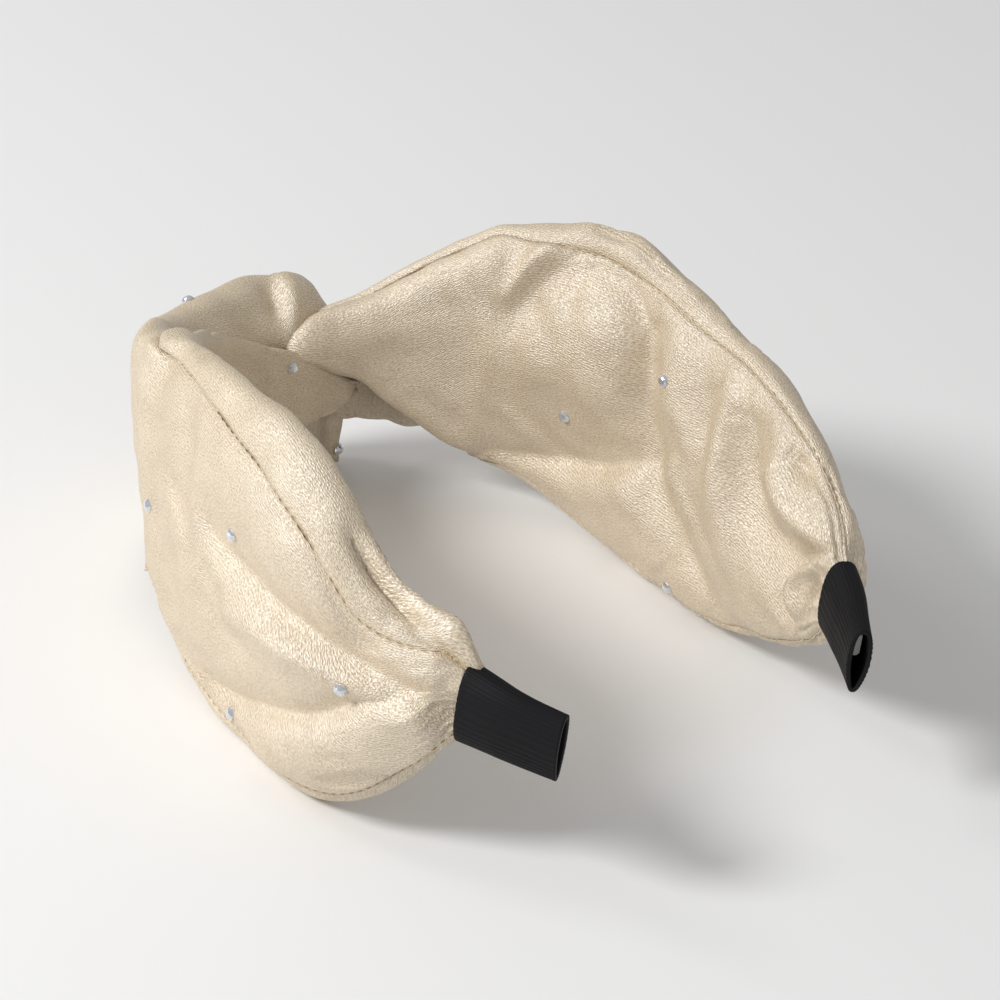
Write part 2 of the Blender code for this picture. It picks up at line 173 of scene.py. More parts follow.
LEFT_INNER_RIBS = (
    ((-66, 5, 27.2), (-66.5, 3.6, 29.4), (-66.5, 0, 30), (-66, -4, 27.5), (-66, -7.3, 18),
     (-66, -8.2, 3), (-66, -8, -12), (-66, -5.5, -24), (-66, -0.6, -29), (-66, 1.8, -28)),
    ((-59.5, 2.8, 23.5), (-60, 2.6, 26.8), (-60, -0.5, 28), (-59.5, -4.5, 25.5), (-59, -7.6, 16),
     (-59, -8.3, 2), (-59, -8, -12), (-59, -5.5, -23), (-59, -1.2, -28), (-59, 0.5, -27)),
    ((-53.5, -1.4, 17), (-54, -1.6, 23), (-54, -3.2, 24.3), (-53.5, -5.6, 23), (-53, -7.8, 14.5),
     (-53, -8.3, 1), (-53, -8, -12), (-53, -5.5, -23), (-53, -2, -27.2), (-53, -0.8, -26.5)),
    ((-46, -4.1, 14), (-46.5, -4.4, 20), (-46.5, -5.4, 21.4), (-46, -6.8, 20.4), (-46, -8.2, 12),
     (-46, -8.4, 0), (-46, -8, -12), (-46, -5.8, -22), (-46, -2.4, -26.4), (-46, -0.6, -25.4)),
    ((-36, -4.0, 6.5), (-36, -4.7, 15), (-36, -5.6, 16.3), (-36, -6.9, 15.3), (-36, -8, 8),
     (-36, -8.2, -2), (-36, -7.8, -12), (-36, -6.5, -20.5), (-36, -4, -24.5), (-36, -2, -23.5)),
    ((-26, -4.2, 2.0), (-26, -4.8, 9.8), (-26, -5.6, 11.1), (-26, -6.8, 10.1), (-26, -7.8, 4),
     (-26, -8, -4), (-26, -7.6, -12.5), (-26, -6.4, -19.5), (-26, -4.6, -22.5), (-26, -3.2, -21.5)),
    ((-16, -4.3, -0.5), (-16, -4.8, 5.4), (-16, -5.6, 6.6), (-16, -6.8, 5.6), (-16, -7.7, 0.4),
     (-16, -7.8, -6.5), (-16, -7.4, -13.5), (-16, -6.3, -19), (-16, -4.8, -21.6), (-16, -3.6, -20.6)),
    ((-5, -4.9, -1.6), (-5, -4.9, 0.7), (-5, -5.6, 1.7), (-5, -6.7, 1), (-5, -7.4, -3.6),
     (-5, -7.5, -9.5), (-5, -7.2, -14.5), (-5, -6.2, -18.4), (-5, -4.8, -20.6), (-5, -3.8, -19.6)),
    ((3, -4, -4), (3, -4, -2.4), (3, -4.6, -1.6), (3, -5.6, -2.6), (3, -6.4, -6.6), (3, -6.7, -11),
     (3, -6.5, -15), (3, -5.7, -18.2), (3, -4.6, -20), (3, -3.7, -19.2)),
    ((10, -3.4, -8.2), (10, -3.5, -7.1), (10, -4, -6.4), (10, -4.7, -7), (10, -5.2, -9.4),
     (10, -5.4, -12.2), (10, -5.2, -14.8), (10, -4.6, -17), (10, -3.8, -18.4), (10, -3, -17.7)),
    ((15.5, -2, -11.2), (15.5, -2.1, -10.5), (15.5, -2.6, -10), (15.5, -3.1, -10.4),
     (15.5, -3.5, -11.6), (15.5, -3.6, -13), (15.5, -3.4, -14.4), (15.5, -3, -15.6),
     (15.5, -2.4, -16.2), (15.5, -1.8, -15.8)),
    ((18, 0.4, -12.4), (18, 0.2, -12), (18, 0, -11.8), (18, -0.3, -12), (18, -0.5, -12.6),
     (18, -0.5, -13.4), (18, -0.4, -14), (18, -0.2, -14.5), (18, 0, -14.8), (18, 0.3, -14.6)),
)
RIGHT_INNER_RIBS = (
    ((46, -2.4, 28.6), (46, -6.6, 26), (46, -8.8, 13), (46, -8.8, -3), (46, -8.5, -15),
     (46, -6.5, -24), (46, -3.6, -26.8)),
    ((38, -2, 23.4), (38, -6, 21.4), (38, -8.5, 11), (38, -8.5, -2), (38, -8.2, -13),
     (38, -6.7, -21.5), (38, -4.4, -23.8)),
    ((30, -1.6, 18.2), (30, -5.6, 16.6), (30, -8.3, 8), (30, -8.3, -2), (30, -8, -11),
     (30, -6.9, -17), (30, -5.2, -19)),
    ((23, -1.2, 13), (23, -5, 12), (23, -8, 5.6), (23, -8.2, -1.8), (23, -8, -8.8), (23, -7, -13),
     (23, -5.8, -14.4)),
    ((16, -0.8, 9), (16, -4.4, 8.8), (16, -7.4, 4.4), (16, -8, -0.8), (16, -7.8, -5.4),
     (16, -7.1, -8.4), (16, -6.2, -9.4)),
    ((11, -0.2, 7.6), (10.6, -3.2, 7.8), (10, -6.6, 4.4), (10, -7.8, 0.6), (10, -7.9, -3.2),
     (10, -7.5, -5.8), (10, -6.7, -7)),
    ((9, 0.4, 6.6), (7, -2, 7.2), (4.8, -5, 4.8), (4, -6.6, 1.8), (4.2, -7.1, -1.2), (4.6, -7, -3.4),
     (5, -6.5, -4.6)),
    ((8, 0.8, 5.8), (4.4, -1.8, 6), (1.2, -4.2, 3.8), (-0.2, -5.4, 1.2), (-0.4, -5.9, -0.8),
     (0, -5.9, -2.4), (0.6, -5.6, -3.4)),
    ((8, 1.4, 5.4), (3.6, -0.8, 5.2), (-0.2, -2.9, 3.2), (-1.6, -3.9, 1), (-2, -4.4, -0.6),
     (-1.8, -4.5, -1.8), (-1.4, -4.4, -2.6)),
    ((7, 1.2, 5), (3.4, -0.2, 4.8), (-0.6, -1.6, 2.8), (-2.2, -2.3, 0.8), (-2.6, -2.8, -0.4),
     (-2.5, -2.9, -1.2), (-2.2, -2.9, -1.8)),
)
RIGHT_OUTER_RIBS = (
    ((46, -2.4, 28.5), (46, -0.4, 29.2), (46, 4, 27.4), (46, 8, 20), (46, 9.5, 3), (46, 9.2, -14),
     (46, 5.5, -25.5), (46, 1, -28), (46, -2.2, -27)),
    ((38, -2, 23.3), (38, -0.2, 24), (38, 3.8, 22.4), (38, 7.6, 15), (38, 9, 1), (38, 8.6, -13),
     (38, 5.5, -23.5), (38, 2.2, -25.6), (38, 1.5, -16)),
    ((30, -1.6, 18.1), (30, -0.2, 18.8), (30, 3, 17), (30, 6.8, 11.5), (30, 8.2, 0), (30, 8, -12),
     (30, 5.5, -22.5), (30, 2.4, -24.4), (30, 1.6, -11)),
    ((23, -1.2, 12.9), (23, 0, 13.4), (23, 2.8, 11.8), (23, 5.6, 8), (23, 7, -1), (23, 7, -12),
     (23, 5, -21.5), (23, 2.4, -23), (23, 1.6, -8)),
    ((16, -0.8, 8.9), (16, 0.4, 9.2), (16, 2.2, 8.2), (16, 3.8, 5.4), (16, 4.6, -1), (16, 4.6, -11),
     (16, 4, -20), (16, 2.4, -22.4), (16, 1.5, -7)),
    ((9, 0.2, 6.2), (9, 1, 6.2), (9, 2, 5.6), (9, 3, 4), (9, 3.9, -1), (9, 3.9, -8), (9, 3.6, -15),
     (9, 2.4, -18), (9, 1.5, -7)),
    ((-3, -0.6, 4.9), (-3, 0, 5.1), (-3, 1, 5.1), (-3, 1.8, 4.2), (-3, 1.9, 0), (-3, 1.9, -6),
     (-3, 1.8, -11), (-3, 1.6, -13), (-3, 1.4, -7)),
)

# Folds: (places along the fold, how far it stands out, its width to the right of the way it runs as
# seen from outside, its width to the left, its profile's power: 1 is a sharp crease, 2 a soft roll).
LEFT_FOLDS = (
    (((-104, 8.5, 8), (-110, 9.4, 7), (-118, 10.3, 6.6), (-127, 11.5, 6), (-140, 11.4, 5),
      (-151, 9.6, 3), (-161, 7, 0.5), (-167, 4, -2)), -4.8, 2.6, 5.2, 1.4),
    (((-114, 10, -2.6), (-123, 11, -0.6), (-134, 12, 1), (-144, 11.4, -0.4), (-153, 10, -2),
      (-160, 8, -3)), 1.9, 3.4, 2.6, 2),
    (((-105, 6.5, -27), (-116, 8, -24), (-124, 10, -20.5), (-132, 11.4, -16.5), (-143, 11.5, -10),
      (-149, 10.6, -4.5), (-156, 9, -1)), -4.8, 1.8, 5.5, 1.2),
    (((-108, 9, -11), (-118, 10, -10), (-127, 11, -11)), -1.4, 5.5, 4.5, 2),
    (((-128, 9, -27), (-140, 9, -22), (-150, 8, -14)), 1.2, 5.0, 5.0, 2),
    (((-84, 7.4, 6), (-94, 8.2, 1.5), (-101, 8.7, -1.5), (-107, 8.5, -6)), 1.1, 3.5, 2.5, 2),
    (((-68, 7, 12), (-74, 7, 4), (-79, 7, -6), (-88, 7, -15)), -1.1, 3.5, 3.5, 2),
    (((-140, 4, 26), (-146, 4, 21.8), (-151, 4, 19), (-157, 4, 16.8)), -4.8, 1.1, 1.7, 1),
    (((-144, 0, 26), (-150, 0, 23), (-157, 0, 19.5)), 1.5, 1.8, 2.5, 2),
    (((-156, 0, 17), (-162, 0, 17), (-167.5, 0, 12.5)), 2.8, 2.8, 3.5, 2),
    (((-156, 4.5, 13), (-162, 4, 12), (-168, 3, 9.5)), -1.8, 0.9, 1.6, 1),
    (((-156, 6, 4), (-162, 5, 5), (-168, 3, 5)), 0.9, 1.8, 1.8, 2),
    (((-80, -8, 20), (-92, -9, 10), (-104, -9, -4), (-112, -8, -16)), -1.8, 4.0, 6.0, 1.5),
    (((-120, -8, 22), (-126, -8, 8), (-138, -7, -6)), -1.6, 4.0, 5.0, 1.6),
)
RIGHT_FOLDS = (
    (((72, -7, 30), (82, -7, 28), (87, -8, 23), (90, -9, 16), (92, -10, 7), (95.5, -10, 0),
      (99.5, -10, -9), (109, -9.5, -15), (121, -8, -23)), -6.8, 3.6, 6.5, 1.3),
    (((97, -10, -5.5), (90, -10, -9.6), (82, -9, -14), (72, -8, -18), (58, -7, -23)),
     -6.0, 8.0, 2.6, 1.2),
    (((56, -9, 4), (75, -9, 6), (84, -10, 6)), 3.0, 8.0, 8.0, 2),
    (((70, -8, 17), (82, -8, 18), (88, -8, 14)), 1.6, 6.0, 6.0, 2),
    (((67, -6, 30), (60, -8, 22), (55.5, -9, 14)), -1.9, 3.4, 5.0, 2),
    (((60, -5, 31), (55, -7, 25), (51.5, -8, 18)), 2.2, 2.4, 2.4, 2),
    (((93, -7, 25), (97.5, -8, 18), (100.5, -9, 9), (103.5, -10, 0), (109, -10, -8)),
     2.2, 3.5, 5.0, 2),
    (((110, -7, 20), (113.5, -9, 14), (115, -9, 7)), -2.8, 4.5, 4.5, 2),
    (((121, -7, 20), (122, -8, 10), (125, -9, 0), (130, -8.5, -6)), 2.0, 4.0, 4.0, 2),
    (((127, -7, 19), (130, -8, 12), (134.5, -8, 6.5), (141, -7.5, 2), (150, -7, 2.5),
      (156, -6.5, 4)), -6.6, 6.0, 4.0, 1.5),
    (((140, -6, 14.0), (148, -6, 11.5), (157, -6, 10.0), (164, -4, 9.5)), 3.0, 3.2, 2.6, 2),
    (((143, -5, 20), (150, -4, 20)), -3.4, 2.8, 3.0, 2),
    (((163, -5, 8.5), (158, -6, 6), (155, -6.5, 3.5), (153.2, -7, 0), (152.9, -7, -3.5),
      (154, -6.5, -7), (157, -6, -10.5)), -4.8, 3.4, 1.6, 1.2),
    (((161, -5.5, 4), (157, -6, 1), (156, -6.5, -3), (158.5, -6, -7)), 3.0, 1.8, 1.8, 2),
    (((163, -5, 2), (164, -5, -4)), -2.6, 2.2, 2.2, 2),
    (((151, -3, 21), (158, -2, 17), (165.5, -1.5, 10.5)), -1.6, 0.9, 1.1, 1),
    (((149, 1.5, 22.5), (158, 1.5, 18), (166, 1.5, 11)), -1.4, 0.9, 1.1, 1),
    (((66, 9, 26), (76, 11, 12), (88, 11, -2), (104, 11, -14)), -2.0, 4.0, 6.0, 1.5),
    (((112, 10, 22), (120, 11, 8), (134, 9, -6), (150, 7, -8)), -1.8, 4.0, 5.0, 1.5),
)

# The cloth: the step between its rows, its thickness, and the groove along its seams.
ROW_STEP = 0.95
SHEET = 0.8
SEAM_DEPTH = 0.5
SEAM_WIDTH = 1.3
SEAM_START = 62.0
LOWEST_CLOTH = 0.3

# The arms' sections: the first one's arc, the step to the next, the room left before the first rib,
# the points round each, how square the oval is across and up, and how far it stays off the floor.
FIRST_SECTION = 170.0
SECTION_STEP = 4.0
RIB_ROOM = 6.0
SECTION_POINTS = 60
SQUARE_ACROSS = 0.85
SQUARE_UP = 0.95
OFF_FLOOR = 0.2

# The folds: the points along each, how far from the cloth one still acts, how deep they go together,
# and the points past each end over which one fades.
FOLD_STEPS = 60
FOLD_REACH = 7.0
DEEPEST = 7.0
FADE_POINTS = 6

# The pleats at each sleeve: where they start, where they are full, and how many cross a leg.
PLEAT_START = 149.0
PLEAT_FULL = 164.0
PLEATS = 3.5

# The Cloth step: how much fuller than its place the cloth is cut, how long it moves and how stiff it
# is, the cells along its border that are held and that ease the movement, the furthest that a point
# may move, and where towards the knot (in y) the movement dies away.
FULLNESS = 0.02
SETTLE_FRAMES = 16
SETTLE_QUALITY = 5
CLOTH_MASS = 0.1
STIFFNESS = 12
BENDING = 0.6
HELD_CELLS = 2
EASE_CELLS = 6
MOST_MOVE = 0.6
KNOT_EDGE = 42.0
KNOT_EASE = 12.0

# The sewing thread: its stitches' pitch, the steps along each, its radius and its sides.
STITCH = 2.3
STITCH_STEPS = 6
THREAD_RADIUS = 0.17
THREAD_SIDES = 6

# The black ribbon sleeve round each end: (arc, middle height, half height, half depth), then its
# wall, where it starts, its rings, its ribs, the plain hem at its start, its mouth, and its girth in
# metres. The mouth is pressed flatter below.
SLEEVE_SECTIONS = np.array((
    (166.5, 0.7, 8.2, 3.6), (173, 0.2, 7.6, 3.4), (180, -0.6, 7.2, 2.7), (187, -1.3, 7.0, 2.2),
))
SLEEVE_WALL = 0.7
SLEEVE_START = 166.0
SLEEVE_ARCS = np.concatenate(
    [[166.6], np.linspace(166.9, 168.5, 6), np.linspace(169, 186.8, 27), [187.2]]
)
SLEEVE_RIBS = 40
POINTS_PER_RIB = 4
RIB_HEIGHT = 0.22
HEM_ARC = 167.0
HEM_HALF_WIDTH = 0.9
MOUTH_START = 176.0
MOUTH_LENGTH = 11.0
SLEEVE_GIRTH = 0.035

# The wadding: its arcs and the points round it, how far it stays inside the cover, and its flat back.
PAD_ARCS = np.linspace(62, 149, 38)
PAD_TURNS = np.radians(np.linspace(-72, 72, 21))
PAD_SHRINK = 7.7
PAD_END_SHRINK = 0.6
PAD_END = (139.0, 149.0)
PAD_LEAST_DEPTH = 1.9
PAD_FRONT = 1.3
PAD_BACK = 1.2
PAD_RIPPLE = 0.25

# The crystals: (radius, height, turn in facets) of each row of corners, how deep they are set, and
# the ray that finds the cloth beside a CAD one.
FACETS = 12
STONE_ROWS = ((1.45, 0, 0), (1.45, 0.3, 0), (1.12, 0.82, 0.5), (0.68, 1.12, 0))
STONE_SINK = 0.12
RAY_START = 6.0
RAY_LENGTH = 14.0

# The camera: where it stands round the band and above it, its roll, its distance in metres, its
# lens, and what it looks at, in millimetres from the crown.
AZIMUTH = -39.4
ELEVATION = 30.0
ROLL = 8.4
DISTANCE = 0.8
LENS = 141.1
SENSOR = 36
LOOKS_AT = (4.3, -74.6, 0)

# The lights: (name, place, diameter, power), all turned towards LIT, in metres and watts, then the
# sky's strength and the floor's half size in metres.
LIGHTS = (
    ("key", (-1.15, 0.2, 0.95), 0.4, 14.5),
    ("back", (-0.75, 0.75, 1.0), 0.4, 2),
)
LIT = (0, 0, 0.03)
SKY = 0.42
FLOOR_HALF_SIZE = 4


def crown_place():
    """The middle of the hoop's centre line at the crown, in metres."""
    low, high = (Vector(corner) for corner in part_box("hoop"))
    return np.array([(low.x + high.x) / 2, high.y - HOOP_THICKNESS / 2 * MM, (low.z + high.z) / 2])


CROWN = crown_place()


def world(places):
    """World places, in metres, of an array of (arc, out, height)."""
    places = np.asarray(places, float)
    arc, out, height = places[..., 0], places[..., 1], places[..., 2]
    side = np.where(arc < 0, -1.0, 1.0)
    crown_turn = np.minimum(np.abs(arc), CROWN_ARC) / CROWN_RADIUS
    turn = crown_turn + np.maximum(np.abs(arc) - CROWN_ARC, 0) / SIDE_RADIUS
    x = CROWN_RADIUS * np.sin(crown_turn) + SIDE_RADIUS * (np.sin(turn) - np.sin(crown_turn))
    y = CROWN_RADIUS * (np.cos(crown_turn) - 1) + SIDE_RADIUS * (np.cos(turn) - np.cos(crown_turn))
    x = side * (x + out * np.sin(turn))
    y = y + out * np.cos(turn)
    return np.stack([x, y, height], -1) * MM + CROWN


def curve(knots, values, at):
    """A smooth curve through the values at the knots, read at each of the places asked for."""
    knots, values, at = (np.asarray(v, float) for v in (knots, values, at))
    slopes = np.gradient(values, knots, axis=0)
    i = np.clip(np.searchsorted(knots, at, side="right") - 1, 0, len(knots) - 2)
    span = knots[i + 1] - knots[i]
    t = np.clip((at - knots[i]) / span, 0, 1)
    shape = t.shape + (1,) * (values.ndim - 1)
    t, span = t.reshape(shape), span.reshape(shape)
    return (
        (2 * t**3 - 3 * t**2 + 1) * values[i] + (t**3 - 2 * t**2 + t) * span * slopes[i]
        + (3 * t**2 - 2 * t**3) * values[i + 1] + (t**3 - t**2) * span * slopes[i + 1]
    )


def travelled(points):
    """How far along a line of points each one lies."""
    return np.concatenate([[0], np.cumsum(np.linalg.norm(np.diff(points, axis=0), axis=1))])


def evenly(points, count):
    """The line through the points, read at places spaced evenly along it."""
    knots = travelled(points)
    fine = curve(knots, points, np.linspace(0, knots[-1], 8 * len(points)))
    knots = travelled(fine)
    return curve(knots, fine, np.linspace(0, knots[-1], count))


def section(outline, arcs, angles):
    """Places on an arm's section: an oval of two half depths, flat where it lies on the floor."""
    low, high, outward, inward = curve(outline[:, 0], outline[:, 1:], arcs).T
    turn = np.radians(angles)
    across, up = np.cos(turn), np.sin(turn)
    out = np.where(across > 0, outward, inward) * np.sign(across) * np.abs(across) ** SQUARE_ACROSS
    height = (low + high) / 2 + (high - low) / 2 * np.sign(up) * np.abs(up) ** SQUARE_UP
    return out, np.maximum(height, FLOOR + OFF_FLOOR)


def leg_places(side, outline, seams, leg, ribs, columns):
    """The grid of places of one leg of a strip, from the sleeve to its end in the knot."""
    rows = []
    last_section = abs(ribs[0][0][0]) + RIB_ROOM
    for arc in np.arange(FIRST_SECTION, last_section, -SECTION_STEP):
        top, bottom = curve(seams[:, 0], seams[:, 1:], arc)
        if leg == "left_inner":
            bottom += 360
        if leg == "right_outer":
            bottom -= 360
        angles = np.linspace(top, bottom, SECTION_POINTS)
        arcs = np.full(SECTION_POINTS, arc)
        out, height = section(outline, arcs, angles)
        rows.append(evenly(np.stack([side * arcs, out, height], -1), columns))
    for rib in ribs:
        rows.append(evenly(np.array(rib, float), columns))
    rows = np.array(rows)
    along = travelled(rows.mean(1))
    return curve(along, rows, np.linspace(0, along[-1], int(along[-1] / ROW_STEP)))


def grid_normals(points):
    """The unit normal at each point of a grid of points."""
    along = np.gradient(points, axis=0)
    across = np.gradient(points, axis=1)
    normals = np.cross(along, across)
    return normals / np.maximum(np.linalg.norm(normals, axis=-1, keepdims=True), 1e-12)


def fold_heights(points, normals, folds):
    """How far the folds lift each point of the cloth, in millimetres."""
    lifts = np.zeros(points.shape[:-1])
    for places, lift, right_width, left_width, power in folds:
        line = np.array(places, float)
        line = world(curve(travelled(line), line, np.linspace(0, travelled(line)[-1], FOLD_STEPS)))
        ahead = np.gradient(line, axis=0)
        offset = points[..., None, :] - line
        through = (offset * normals[..., None, :]).sum(-1)
        flat = np.linalg.norm(offset - through[..., None] * normals[..., None, :], axis=-1)
        flat = np.where(np.abs(through) < FOLD_REACH * MM, flat, 1.0)
        nearest = flat.argmin(-1)
        away = np.take_along_axis(offset, nearest[..., None, None], 2)[..., 0, :]
        right = (np.cross(ahead[nearest], normals) * away).sum(-1) > 0
        distance = flat.min(-1) / MM / np.where(right, right_width, left_width)
        share = (nearest + FADE_POINTS) / (FOLD_STEPS - 1 + 2 * FADE_POINTS)
        fade = np.sin(np.pi * np.clip(share, 0, 1)) ** 0.5
        lifts += lift * np.exp(-(distance**power)) * fade
    return np.where(lifts < 0, -DEEPEST * np.tanh(-lifts / DEEPEST), lifts)


def wrinkles(places, seed):
    """Low, uneven rumples over the whole cloth."""
    arc, height = places[..., 0], places[..., 2]
    return (
        0.22 * np.sin(arc / 5.3 + 0.9 * np.sin(height / 6.1 + seed) + seed)
        * np.sin(height / 7.2 + 0.8 * np.sin(arc / 9.0 - seed))
        + 0.12 * np.sin(arc / 2.4 + height / 3.1 + 1.7 * np.sin(height / 4.7 + 2 * seed))
    )


def pleats(places, seed, depth):
    """Pleats that run out of each sleeve and die away along the arm."""
    arc = np.abs(places[..., 0])
    columns = places.shape[1]
    across = np.linspace(0, 1, columns)[None, :]
    full = np.clip((arc - PLEAT_START) / (PLEAT_FULL - PLEAT_START), 0, 1) ** 1.5
    wave = np.sin(2 * np.pi * (PLEATS * across + 0.3 * np.sin(2 * np.pi * 1.3 * across + seed)) + seed)
    uneven = 0.65 + 0.35 * np.sin(2 * np.pi * 2.2 * across + 2 * seed)
    return depth * full * uneven * (1 - 1.6 * np.abs(wave) ** 0.7)


def make_object(name, vertices, faces, uvs=None):
    """A mesh object in the scene, with one place on the cloth for each vertex where it has any."""
    mesh = bpy.data.meshes.new(name)
    mesh.from_pydata([tuple(v) for v in vertices], [], faces)
    if uvs is not None:
        layer = mesh.uv_layers.new(name="cloth")
        corners = np.array([uvs[loop.vertex_index] for loop in mesh.loops])
        layer.data.foreach_set("uv", corners.ravel())
    mesh.update()
    piece = bpy.data.objects.new(name, mesh)
    bpy.context.scene.collection.objects.link(piece)
    return piece


def grid_faces(rows, columns):
    """The faces of a grid of vertices numbered row by row."""
    return [
        (i * columns + j, i * columns + j + 1, (i + 1) * columns + j + 1, (i + 1) * columns + j)
        for i in range(rows - 1) for j in range(columns - 1)
    ]


def apply_modifiers(piece):
    """Gives the piece the mesh that its modifiers make."""
    graph = bpy.context.evaluated_depsgraph_get()
    mesh = bpy.data.meshes.new_from_object(piece.evaluated_get(graph), depsgraph=graph)
    old = piece.data
    piece.modifiers.clear()
    piece.data = mesh
    bpy.data.meshes.remove(old)


def cloth_leg(name, side, outline, seams, leg, ribs, columns, folds, seed, pleat_depth):
    """One leg of a strip as a sheet of cloth, with its folds, rumples, pleats and seams' grooves."""
    places = leg_places(side, outline, seams, leg, ribs, columns)
    points = world(places)
    faces_out = leg in ("left_outer", "right_inner")
    normals = grid_normals(points) * (1 if faces_out else -1)
    lifts = fold_heights(points, normals, folds)
    lifts = lifts + wrinkles(places, seed) + pleats(places, seed, pleat_depth)
    across = np.stack([travelled(row) for row in points])
    to_edge = np.minimum(across, across[:, -1:] - across) / MM
    lifts -= SEAM_DEPTH * np.exp(-((to_edge / SEAM_WIDTH) ** 2))
    points = points + normals * lifts[..., None] * MM
    points[..., 2] = np.maximum(points[..., 2], LOWEST_CLOTH * MM)
    along = travelled(points.mean(1))
    uvs = np.stack([np.broadcast_to(along[:, None], across.shape), across], -1).reshape(-1, 2)
    piece = make_object(name, points.reshape(-1, 3), grid_faces(*across.shape), uvs)
    if faces_out:
        piece.data.flip_normals()
    leg_shapes[name] = across.shape
    sewn = np.abs(places[:, 0, 0]) > SEAM_START
    seam_lines[name] = [(points[sewn, edge], normals[sewn, edge]) for edge in (0, -1)]
    return piece


def settle(piece, shape):
    """Lets the cloth crumple a little with Blender's Cloth: it is cut slightly full, so it buckles."""
    rows, columns = shape
    before = np.array([v.co for v in piece.data.vertices])
    row, column = np.divmod(np.arange(rows * columns), columns)
    to_border = np.minimum.reduce([row, rows - 1 - row, column, columns - 1 - column])
    held = piece.vertex_groups.new(name="held")
    held.add([int(i) for i in np.flatnonzero(to_border < HELD_CELLS)], 1.0, "REPLACE")
    cloth = piece.modifiers.new("cloth", "CLOTH")
    settings = cloth.settings
    settings.quality = SETTLE_QUALITY
    settings.mass = CLOTH_MASS
    settings.vertex_group_mass = "held"
    settings.effector_weights.gravity = 0
    settings.shrink_min = -FULLNESS
    settings.tension_stiffness = settings.compression_stiffness = STIFFNESS
    settings.bending_stiffness = BENDING
    cloth.point_cache.frame_end = SETTLE_FRAMES
    for frame_number in range(1, SETTLE_FRAMES + 1):
        bpy.context.scene.frame_set(frame_number)
    graph = bpy.context.evaluated_depsgraph_get()
    settled = np.array([v.co for v in piece.evaluated_get(graph).data.vertices])
    piece.modifiers.clear()
    piece.vertex_groups.clear()
    bpy.context.scene.frame_set(1)
    move = settled - before
    length = np.linalg.norm(move, axis=1)
    off_knot = np.clip((KNOT_EDGE - before[:, 1] / MM) / KNOT_EASE, 0, 1)
    ease = np.clip(to_border / EASE_CELLS, 0, 1) * off_knot
    ease *= MOST_MOVE * MM / np.maximum(length, MOST_MOVE * MM)
    piece.data.vertices.foreach_set("co", (before + move * ease[:, None]).ravel())
    piece.data.update()


def thicken(piece):
    """Gives a sheet its thickness, on the side away from its outer face."""
    solid = piece.modifiers.new("thickness", "SOLIDIFY")
    solid.thickness = SHEET * MM
    solid.offset = -1
    apply_modifiers(piece)
    for polygon in piece.data.polygons:
        polygon.use_smooth = True


def node(tree, kind, links=(), **settings):
    """A shader node with its settings made, its inputs set or linked, and its object returned."""
    made = tree.nodes.new(kind)
    for key, value in settings.items():
        setattr(made, key, value)
    for socket, value in dict(links).items():
        if isinstance(value, bpy.types.NodeSocket):
            tree.links.new(value, made.inputs[socket])
        else:
            made.inputs[socket].default_value = value
    return made


def material(name, base, roughness):
    """A new material, with its node tree and its shader."""
    made = bpy.data.materials.new(name)
    made.use_nodes = True
    tree = made.node_tree
    shader = tree.nodes["Principled BSDF"]
    shader.inputs["Base Color"].default_value = (*base, 1)
    shader.inputs["Roughness"].default_value = roughness
    return made, tree, shader


def cloth_lines(tree, scale):
    """The cloth's own coordinates, which are in metres, scaled so that one cell is 1 / scale mm."""
    uv = node(tree, "ShaderNodeUVMap", uv_map="cloth")
    return node(tree, "ShaderNodeMapping", {"Vector": uv.outputs["UV"],
                                            "Scale": (scale[0] * 1000, scale[1] * 1000, 1)})


